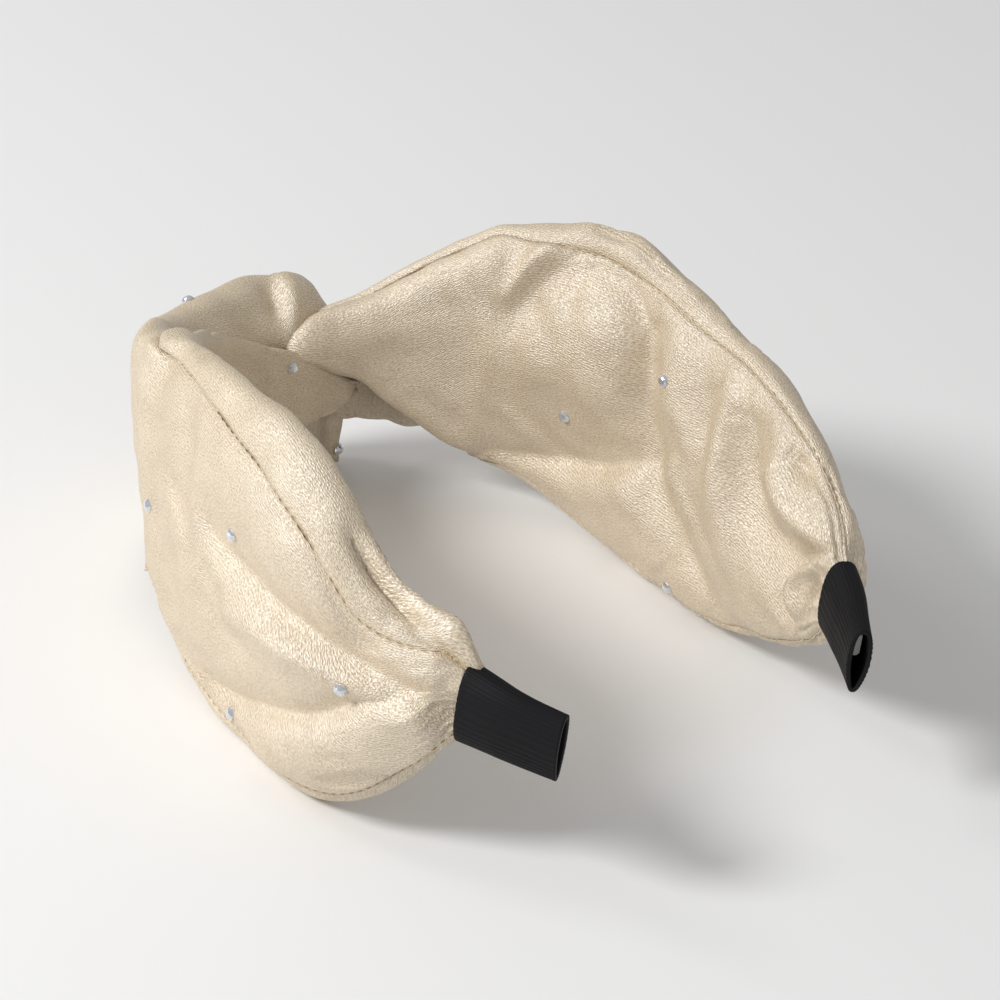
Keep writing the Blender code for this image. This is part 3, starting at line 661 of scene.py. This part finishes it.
def satin():
    """Satin crepe: small uneven grains in rows along the strip, their tops painted lighter as painted
    highlights and their hollows painted darker as painted shade, over a cloudy mottle of the cloth's
    own; the tops are also shinier.
    """
    made, tree, shader = material("champagne_satin_crepe", (0.7, 0.59, 0.43), 0.42)
    lines = cloth_lines(tree, (1 / 0.56, 1 / 0.34)).outputs["Vector"]
    grain = node(tree, "ShaderNodeTexNoise", {"Vector": lines, "Scale": 1.0, "Detail": 1.0,
                                              "Roughness": 0.5}, noise_dimensions="2D").outputs["Fac"]
    thread_lines = cloth_lines(tree, (1 / 0.22, 1 / 0.16)).outputs["Vector"]
    threads = node(tree, "ShaderNodeTexNoise", {"Vector": thread_lines, "Scale": 1.0, "Detail": 1.0},
                   noise_dimensions="2D").outputs["Fac"]
    flat_lines = cloth_lines(tree, (1, 1)).outputs["Vector"]
    rows = node(tree, "ShaderNodeTexWave", {"Vector": flat_lines, "Scale": 0.58, "Distortion": 5.0,
                                            "Detail": 1.0, "Detail Scale": 2.2},
                bands_direction="Y").outputs["Fac"]
    cloudy = node(tree, "ShaderNodeTexNoise", {"Vector": lines, "Scale": 0.06, "Detail": 3.0},
                  noise_dimensions="2D").outputs["Fac"]
    fine = node(tree, "ShaderNodeMath", {0: threads, 1: 0.3}, operation="MULTIPLY").outputs[0]
    fine = node(tree, "ShaderNodeMath", {0: rows, 1: 0.3, 2: fine}, operation="MULTIPLY_ADD").outputs[0]
    relief = node(tree, "ShaderNodeMath", {0: grain, 1: fine}, operation="ADD").outputs[0]
    soft_cloud = node(tree, "ShaderNodeMath", {0: cloudy, 1: 0.3}, operation="MULTIPLY").outputs[0]
    tone = node(tree, "ShaderNodeMath", {0: relief, 1: soft_cloud}, operation="ADD").outputs[0]
    # The colour follows the grains' relief: painted highlight on their tops and painted shade in their
    # hollows; the cloudy part is the cloth's own uneven mottle.
    spread = node(tree, "ShaderNodeMapRange", {"Value": tone, "From Min": 0.66, "From Max": 1.2})
    ramp = node(tree, "ShaderNodeValToRGB", {"Fac": spread.outputs["Result"]})
    # Dark end: painted shade in the grains' hollows. Light end: painted highlight on the grains' tops.
    ramp.color_ramp.elements[0].color = (0.46, 0.335, 0.185, 1)
    ramp.color_ramp.elements[1].color = (0.82, 0.675, 0.465, 1)
    shine = node(tree, "ShaderNodeMapRange", {"Value": relief, "From Min": 0.45, "From Max": 1.0,
                                              "To Min": 0.64, "To Max": 0.46})
    bump = node(tree, "ShaderNodeBump", {"Height": relief, "Strength": 1.0, "Distance": 0.19 * MM})
    tree.links.new(ramp.outputs["Color"], shader.inputs["Base Color"])
    tree.links.new(shine.outputs["Result"], shader.inputs["Roughness"])
    tree.links.new(bump.outputs["Normal"], shader.inputs["Normal"])
    shader.inputs["IOR"].default_value = 2.2
    shader.inputs["Specular IOR Level"].default_value = 1.0
    shader.inputs["Sheen Weight"].default_value = 0.08
    shader.inputs["Sheen Roughness"].default_value = 0.3
    shader.inputs["Sheen Tint"].default_value = (1.0, 0.96, 0.9, 1)
    return made


def grosgrain():
    """Black ribbon, dull, with a trace of shine along its ribs."""
    made, tree, shader = material("black_grosgrain", (0.012, 0.012, 0.014), 0.6)
    shader.inputs["Specular IOR Level"].default_value = 0.2
    lines = cloth_lines(tree, (1 / 0.25, 1 / 0.25)).outputs["Vector"]
    threads = node(tree, "ShaderNodeTexNoise", {"Vector": lines, "Scale": 1.0, "Detail": 2.0},
                   noise_dimensions="2D")
    ramp = node(tree, "ShaderNodeValToRGB", {"Fac": threads.outputs["Fac"]})
    ramp.color_ramp.elements[0].color = (0.003, 0.003, 0.004, 1)
    ramp.color_ramp.elements[1].color = (0.008, 0.008, 0.01, 1)
    bump = node(tree, "ShaderNodeBump", {"Height": threads.outputs["Fac"], "Strength": 0.5,
                                         "Distance": 0.08 * MM})
    tree.links.new(ramp.outputs["Color"], shader.inputs["Base Color"])
    tree.links.new(bump.outputs["Normal"], shader.inputs["Normal"])
    return made


def sewing_thread():
    """Cream thread, mottled along its twist."""
    made, tree, shader = material("seam_thread", (0.66, 0.55, 0.4), 0.6)
    place = node(tree, "ShaderNodeTexCoord")
    twist = node(tree, "ShaderNodeTexNoise", {"Vector": place.outputs["Generated"], "Scale": 240.0})
    ramp = node(tree, "ShaderNodeValToRGB", {"Fac": twist.outputs["Fac"]})
    ramp.color_ramp.elements[0].color = (0.54, 0.43, 0.29, 1)
    ramp.color_ramp.elements[1].color = (0.80, 0.68, 0.50, 1)
    tree.links.new(ramp.outputs["Color"], shader.inputs["Base Color"])
    return made


def crystal_glass():
    """Clear crystal over a silver foil, a little grey."""
    made, tree, shader = material("clear_crystal", (0.78, 0.8, 0.85), 0.08)
    place = node(tree, "ShaderNodeTexCoord")
    cloud = node(tree, "ShaderNodeTexNoise", {"Vector": place.outputs["Generated"], "Scale": 3.0})
    ramp = node(tree, "ShaderNodeValToRGB", {"Fac": cloud.outputs["Fac"]})
    ramp.color_ramp.elements[0].color = (0.5, 0.52, 0.58, 1)
    ramp.color_ramp.elements[1].color = (0.93, 0.94, 0.97, 1)
    tree.links.new(ramp.outputs["Color"], shader.inputs["Base Color"])
    shader.inputs["Metallic"].default_value = 0.75
    shader.inputs["Coat Weight"].default_value = 1.0
    shader.inputs["Coat Roughness"].default_value = 0.03
    return made


def plain(name, low, high, roughness, scale):
    """A plain finish with a slight mottle."""
    made, tree, shader = material(name, high, roughness)
    place = node(tree, "ShaderNodeTexCoord")
    cloud = node(tree, "ShaderNodeTexNoise", {"Vector": place.outputs["Generated"], "Scale": scale,
                                              "Detail": 4.0})
    ramp = node(tree, "ShaderNodeValToRGB", {"Fac": cloud.outputs["Fac"]})
    ramp.color_ramp.elements[0].color = (*low, 1)
    ramp.color_ramp.elements[1].color = (*high, 1)
    tree.links.new(ramp.outputs["Color"], shader.inputs["Base Color"])
    return made


def tube(name, rings, closed_ends=False, uvs=None):
    """A surface through rings of places, each closed on itself."""
    rings = np.array(rings, float)
    count, size = rings.shape[:2]
    faces = [
        (i * size + j, i * size + (j + 1) % size, (i + 1) * size + (j + 1) % size, (i + 1) * size + j)
        for i in range(count - 1) for j in range(size)
    ]
    if closed_ends:
        faces += [tuple(range(size - 1, -1, -1)), tuple(range((count - 1) * size, count * size))]
    piece = make_object(name, rings.reshape(-1, 3), faces, uvs)
    made = bmesh.new()
    made.from_mesh(piece.data)
    bmesh.ops.recalc_face_normals(made, faces=made.faces[:])
    made.to_mesh(piece.data)
    made.free()
    for polygon in piece.data.polygons:
        polygon.use_smooth = True
    return piece


def sleeve(name, side):
    """The ribbon wrapped round an end of the hoop, its ribs standing along it and its mouth open."""
    size = SLEEVE_RIBS * POINTS_PER_RIB
    turns = np.linspace(0, 2 * np.pi, size, endpoint=False)
    outer, inner = [], []
    for arc in SLEEVE_ARCS:
        middle, half_height, half_depth = curve(SLEEVE_SECTIONS[:, 0], SLEEVE_SECTIONS[:, 1:], arc)
        open_mouth = np.clip((arc - MOUTH_START) / MOUTH_LENGTH, 0, 1)
        across, up = np.cos(turns), np.sin(turns)
        sway = 0.35 * math.sin((arc - SLEEVE_START) / 5.0)
        hem = np.clip(1 - abs(arc - HEM_ARC) / HEM_HALF_WIDTH, 0, 1)
        ribs = np.abs(np.sin(turns * SLEEVE_RIBS / 2 + sway)) ** 0.7
        rib = RIB_HEIGHT * (1 - hem) * ribs + RIB_HEIGHT * hem
        depth = half_depth * (1 - open_mouth * 0.35 * np.clip(-up, 0, 1))
        out = np.sign(across) * np.abs(across) ** 0.75
        height = np.sign(up) * np.abs(up) ** 0.8
        dip = 0.5 * math.sin((arc - SLEEVE_START) / 4.2 + 0.6 * side)
        dip *= np.clip((arc - SLEEVE_START - 2) / 8, 0, 1)
        for wall, rings in ((0.0, outer), (SLEEVE_WALL, inner)):
            swell = rib if wall == 0 else 0
            rings.append(np.stack([
                np.full(size, side * arc), (depth - wall + swell) * out + dip * (1 - out**2) * 0.5,
                middle + (half_height - wall + swell) * height + 0.4 * dip * out,
            ], -1))
    rings = world(np.array(outer + inner[::-1]))
    along = np.array([travelled(rings[:, 0])] * size).T
    around = np.broadcast_to(np.linspace(0, SLEEVE_GIRTH, size), along.shape)
    uvs = np.concatenate([np.stack([along, around], -1).reshape(-1, 2), np.zeros((size, 2))])
    piece = tube(name, list(rings) + [rings[0]], uvs=uvs)
    piece.data.materials.append(ribbon)
    return piece


def seam(name, line, normals):
    """The sewing thread along a seam, dipping into the cloth between its stitches."""
    along = travelled(line) / MM
    steps = int(along[-1] / STITCH) * STITCH_STEPS
    places = curve(along, line, np.linspace(0, along[-1], steps))
    ups = curve(along, normals, np.linspace(0, along[-1], steps))
    ahead = np.gradient(places, axis=0)
    ahead /= np.linalg.norm(ahead, axis=1)[:, None]
    sides = np.cross(ahead, ups)
    sides /= np.linalg.norm(sides, axis=1)[:, None]
    ups = np.cross(sides, ahead)
    rise = THREAD_RADIUS * (0.3 + 1.2 * np.cos(np.arange(steps) * 2 * math.pi / STITCH_STEPS))
    middles = places + ups * rise[:, None] * MM
    turns = np.linspace(0, 2 * math.pi, THREAD_SIDES, endpoint=False)
    rings = [
        [middle + THREAD_RADIUS * MM * (math.cos(t) * side + math.sin(t) * up) for t in turns]
        for middle, side, up in zip(middles, sides, ups)
    ]
    piece = tube(name, rings, closed_ends=True)
    piece.data.materials.append(thread)
    return piece


def half_hoop(name, side):
    """One half of the plastic hoop, from the crown's middle to its tip."""
    rings = []
    tip_length = HOOP_TIP_ARCS[-1] - HOOP_TIP_START
    for arc in np.append(np.linspace(0.001, HOOP_TIP_START, 90), HOOP_TIP_ARCS):
        along_tip = np.clip((arc - HOOP_TIP_START) / tip_length, 0, 1)
        w = HOOP_WIDTH / 2 * (1 - HOOP_TIP_NARROWING * along_tip**2)
        t, r = HOOP_THICKNESS / 2, HOOP_ROUNDING
        outline = ((t, r - w), (t, w - r), (t - r, w), (r - t, w),
                   (-t, w - r), (-t, r - w), (r - t, -w), (t - r, -w))
        rings.append(world([(side * arc, out, height) for out, height in outline]))
    piece = tube(name, rings, closed_ends=True)
    for polygon in piece.data.polygons:
        polygon.use_smooth = False
    piece.data.materials.append(hoop_plastic)
    return piece


def pad(name, side, outline, face):
    """The wadding between a leg and the hoop: a soft loaf, flat against the hoop."""
    rings = []
    for arc in PAD_ARCS:
        to_end = np.clip((arc - PAD_END[0]) / (PAD_END[1] - PAD_END[0]), 0, 1)
        shrink = PAD_SHRINK + PAD_END_SHRINK * to_end
        low, high, outward, inward = curve(outline[:, 0], outline[:, 1:], arc)
        depth = max((outward if face > 0 else inward) - shrink, PAD_LEAST_DEPTH)
        half = (high - low) / 2 - shrink
        ripple = PAD_RIPPLE * np.sin(arc / 4 + 3 * PAD_TURNS)
        bulge = PAD_FRONT + (depth - PAD_FRONT) * np.cos(PAD_TURNS) + ripple
        out = face * np.maximum(bulge, PAD_FRONT)
        height = (low + high) / 2 + half * np.sin(PAD_TURNS)
        ring = np.stack([np.full(len(PAD_TURNS), side * arc), out, height], -1)
        back = np.array([(side * arc, face * PAD_BACK, height[i]) for i in (-1, 0)])
        rings.append(world(np.concatenate([ring, back])))
    piece = tube(name, rings, closed_ends=True)
    piece.data.materials.append(wadding_fibre)
    return piece


def brilliant(name):
    """A flat-backed crystal like the CAD one, with two rows of facets round its table."""
    made = bmesh.new()
    rows = []
    for radius, height, shift in STONE_ROWS:
        rows.append([
            made.verts.new(Vector((radius * math.cos(t), radius * math.sin(t), height)) * MM)
            for t in (2 * math.pi * (i + shift) / FACETS for i in range(FACETS))
        ])
    for row, following in zip(rows, rows[1:]):
        for i in range(FACETS):
            j = (i + 1) % FACETS
            made.faces.new((row[i], row[j], following[j], following[i]))
    made.faces.new(rows[0])
    made.faces.new(rows[-1])
    bmesh.ops.triangulate(made, faces=[f for f in made.faces if len(f.verts) == 4])
    bmesh.ops.recalc_face_normals(made, faces=made.faces[:])
    mesh = bpy.data.meshes.new(name)
    made.to_mesh(mesh)
    made.free()
    mesh.materials.append(glass)
    piece = bpy.data.objects.new(name, mesh)
    bpy.context.scene.collection.objects.link(piece)
    return piece


def surface_tree(pieces):
    """A search tree over the faces of the pieces."""
    vertices, faces = [], []
    for piece in pieces:
        start = len(vertices)
        vertices += [v.co.copy() for v in piece.data.vertices]
        faces += [[start + i for i in polygon.vertices] for polygon in piece.data.polygons]
    return BVHTree.FromPolygons(vertices, faces)


def set_crystals(pieces):
    """Sets a crystal on the cloth beside each CAD one, facing the way the cloth faces there."""
    cloth = surface_tree(pieces)
    for name, cad in frame["nodes"].items():
        if "crystal" not in name:
            continue
        low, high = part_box(name)
        middle = (low + high) / 2
        facing = cad_facing(cad, middle)
        start = middle + facing * RAY_START * MM
        hit, normal, _, _ = cloth.ray_cast(start, -facing, RAY_LENGTH * MM)
        if hit is None:
            hit, normal, _, _ = cloth.find_nearest(middle)
        if normal.dot(facing) < 0:
            normal = -normal
        stone = brilliant(name + "_look")
        stone.matrix_world = Matrix.Translation(hit - normal * STONE_SINK * MM) @ (
            normal.to_track_quat("Z", "Y").to_matrix().to_4x4()
        )
        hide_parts(name)
        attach(stone, cad["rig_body"])


def cad_facing(cad, middle):
    """The way a CAD crystal faces: from its wide back to its small table."""
    corners = np.array([v.co for v in cad.data.vertices])
    centre = corners.mean(0)
    _, _, axes = np.linalg.svd(corners - centre)
    axis = Vector(axes[2])
    heights = (corners - centre) @ np.array(axis)
    spread = np.linalg.norm(np.cross(corners - centre, axis), axis=1)
    top = spread[heights > heights.mean()].mean()
    bottom = spread[heights <= heights.mean()].mean()
    return axis if top < bottom else -axis


def set_stage():
    """The pale floor."""
    half = FLOOR_HALF_SIZE
    corners = [(-half, -half, 0), (half, -half, 0), (half, half, 0), (-half, half, 0)]
    floor = make_object("floor", corners, [(0, 1, 2, 3)])
    white, _, _ = material("floor_white", (0.92, 0.92, 0.92), 0.9)
    floor.data.materials.append(white)


def set_camera():
    """The camera, turned towards the band and rolled as it was for the photo."""
    azimuth, elevation, roll = (math.radians(angle) for angle in (AZIMUTH, ELEVATION, ROLL))
    back = Vector((math.sin(azimuth) * math.cos(elevation), -math.cos(azimuth) * math.cos(elevation),
                   math.sin(elevation)))
    right = Vector((math.cos(azimuth), math.sin(azimuth), 0))
    up = back.cross(right)
    axis_x = right * math.cos(roll) + up * math.sin(roll)
    axis_y = up * math.cos(roll) - right * math.sin(roll)
    target = Vector(CROWN) + Vector(LOOKS_AT) * MM
    camera = bpy.data.objects.new("camera", bpy.data.cameras.new("camera"))
    camera.data.lens = LENS
    camera.data.sensor_width = SENSOR
    turned = Matrix((axis_x, axis_y, back)).transposed().to_4x4()
    camera.matrix_world = Matrix.Translation(target + back * DISTANCE) @ turned
    bpy.context.scene.collection.objects.link(camera)
    bpy.context.scene.camera = camera


def area_light(name, place, size, power):
    """A round soft light, turned towards the middle of the floor."""
    lamp = bpy.data.lights.new(name, "AREA")
    lamp.shape = "DISK"
    lamp.size = size
    lamp.energy = power
    made = bpy.data.objects.new(name, lamp)
    made.matrix_world = Matrix.Translation(Vector(place)) @ (
        (Vector(place) - Vector(LIT)).to_track_quat("Z", "Y").to_matrix().to_4x4()
    )
    bpy.context.scene.collection.objects.link(made)


def set_lights():
    """Two soft lights, a plain sky, and a view that keeps the pale cloth and the black ribbon true."""
    for light in LIGHTS:
        area_light(*light)
    studio = bpy.data.worlds.new("studio")
    studio.use_nodes = True
    background = studio.node_tree.nodes["Background"]
    background.inputs["Color"].default_value = (1, 1, 1, 1)
    background.inputs["Strength"].default_value = SKY
    bpy.context.scene.world = studio
    bpy.context.scene.view_settings.view_transform = "Standard"


satin_cloth = satin()
ribbon = grosgrain()
thread = sewing_thread()
glass = crystal_glass()
hoop_plastic = plain("hoop_plastic", (0.68, 0.67, 0.63), (0.76, 0.75, 0.71), 0.35, 40)
wadding_fibre = plain("wadding_fibre", (0.7, 0.69, 0.66), (0.86, 0.85, 0.82), 0.95, 60)

seam_lines, leg_shapes = {}, {}
LEFT = dict(side=-1, outline=LEFT_OUTLINE, seams=LEFT_SEAMS, folds=LEFT_FOLDS)
RIGHT = dict(side=1, outline=RIGHT_OUTLINE, seams=RIGHT_SEAMS, folds=RIGHT_FOLDS)
legs = {
    "left_outer_leg": cloth_leg("left_outer_leg", leg="left_outer", ribs=LEFT_OUTER_RIBS,
                                columns=72, seed=0.4, pleat_depth=0.3, **LEFT),
    "left_inner_leg": cloth_leg("left_inner_leg", leg="left_inner", ribs=LEFT_INNER_RIBS,
                                columns=72, seed=1.9, pleat_depth=0.8, **LEFT),
    "right_outer_leg": cloth_leg("right_outer_leg", leg="right_outer", ribs=RIGHT_OUTER_RIBS,
                                 columns=84, seed=3.1, pleat_depth=0.8, **RIGHT),
    "right_inner_leg": cloth_leg("right_inner_leg", leg="right_inner", ribs=RIGHT_INNER_RIBS,
                                 columns=56, seed=4.6, pleat_depth=0.3, **RIGHT),
}
for name, leg in legs.items():
    settle(leg, leg_shapes[name])
    thicken(leg)
    leg.data.materials.append(satin_cloth)

set_stage()
set_camera()
set_lights()

for name, leg in legs.items():
    side = name.split("_")[0]
    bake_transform(leg)
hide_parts("left_cover_outer_leg", "left_strip_loop")
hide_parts("left_cover_inner_leg")
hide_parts("right_cover_outer_leg", "right_strip_loop")
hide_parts("right_cover_inner_leg")

for side, sign, outline in (("left", -1, LEFT_OUTLINE), ("right", 1, RIGHT_OUTLINE)):
    body = side + "_arm"
    end_sleeve = sleeve(side + "_ribbon_sleeve", sign)
    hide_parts(side + "_end_sleeve")
    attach(end_sleeve, body)
    for face, which in ((1, "outer"), (-1, "inner")):
        wadding = pad(f"{side}_{which}_pad", sign, outline, face)
        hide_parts(f"{side}_wadding_{which}")
        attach(wadding, body)
    half = half_hoop(side + "_half_hoop", sign)
    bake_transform(half)
    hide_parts("hoop")
    seam_leg = "left_outer_leg" if side == "left" else "right_inner_leg"
    for which, (line, normals) in zip(("top", "bottom"), seam_lines[seam_leg]):
        stitches = seam(f"{side}_{which}_stitches", line, normals)
        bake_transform(stitches)
        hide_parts(f"{side}_seam_{which}")
set_crystals(legs.values())
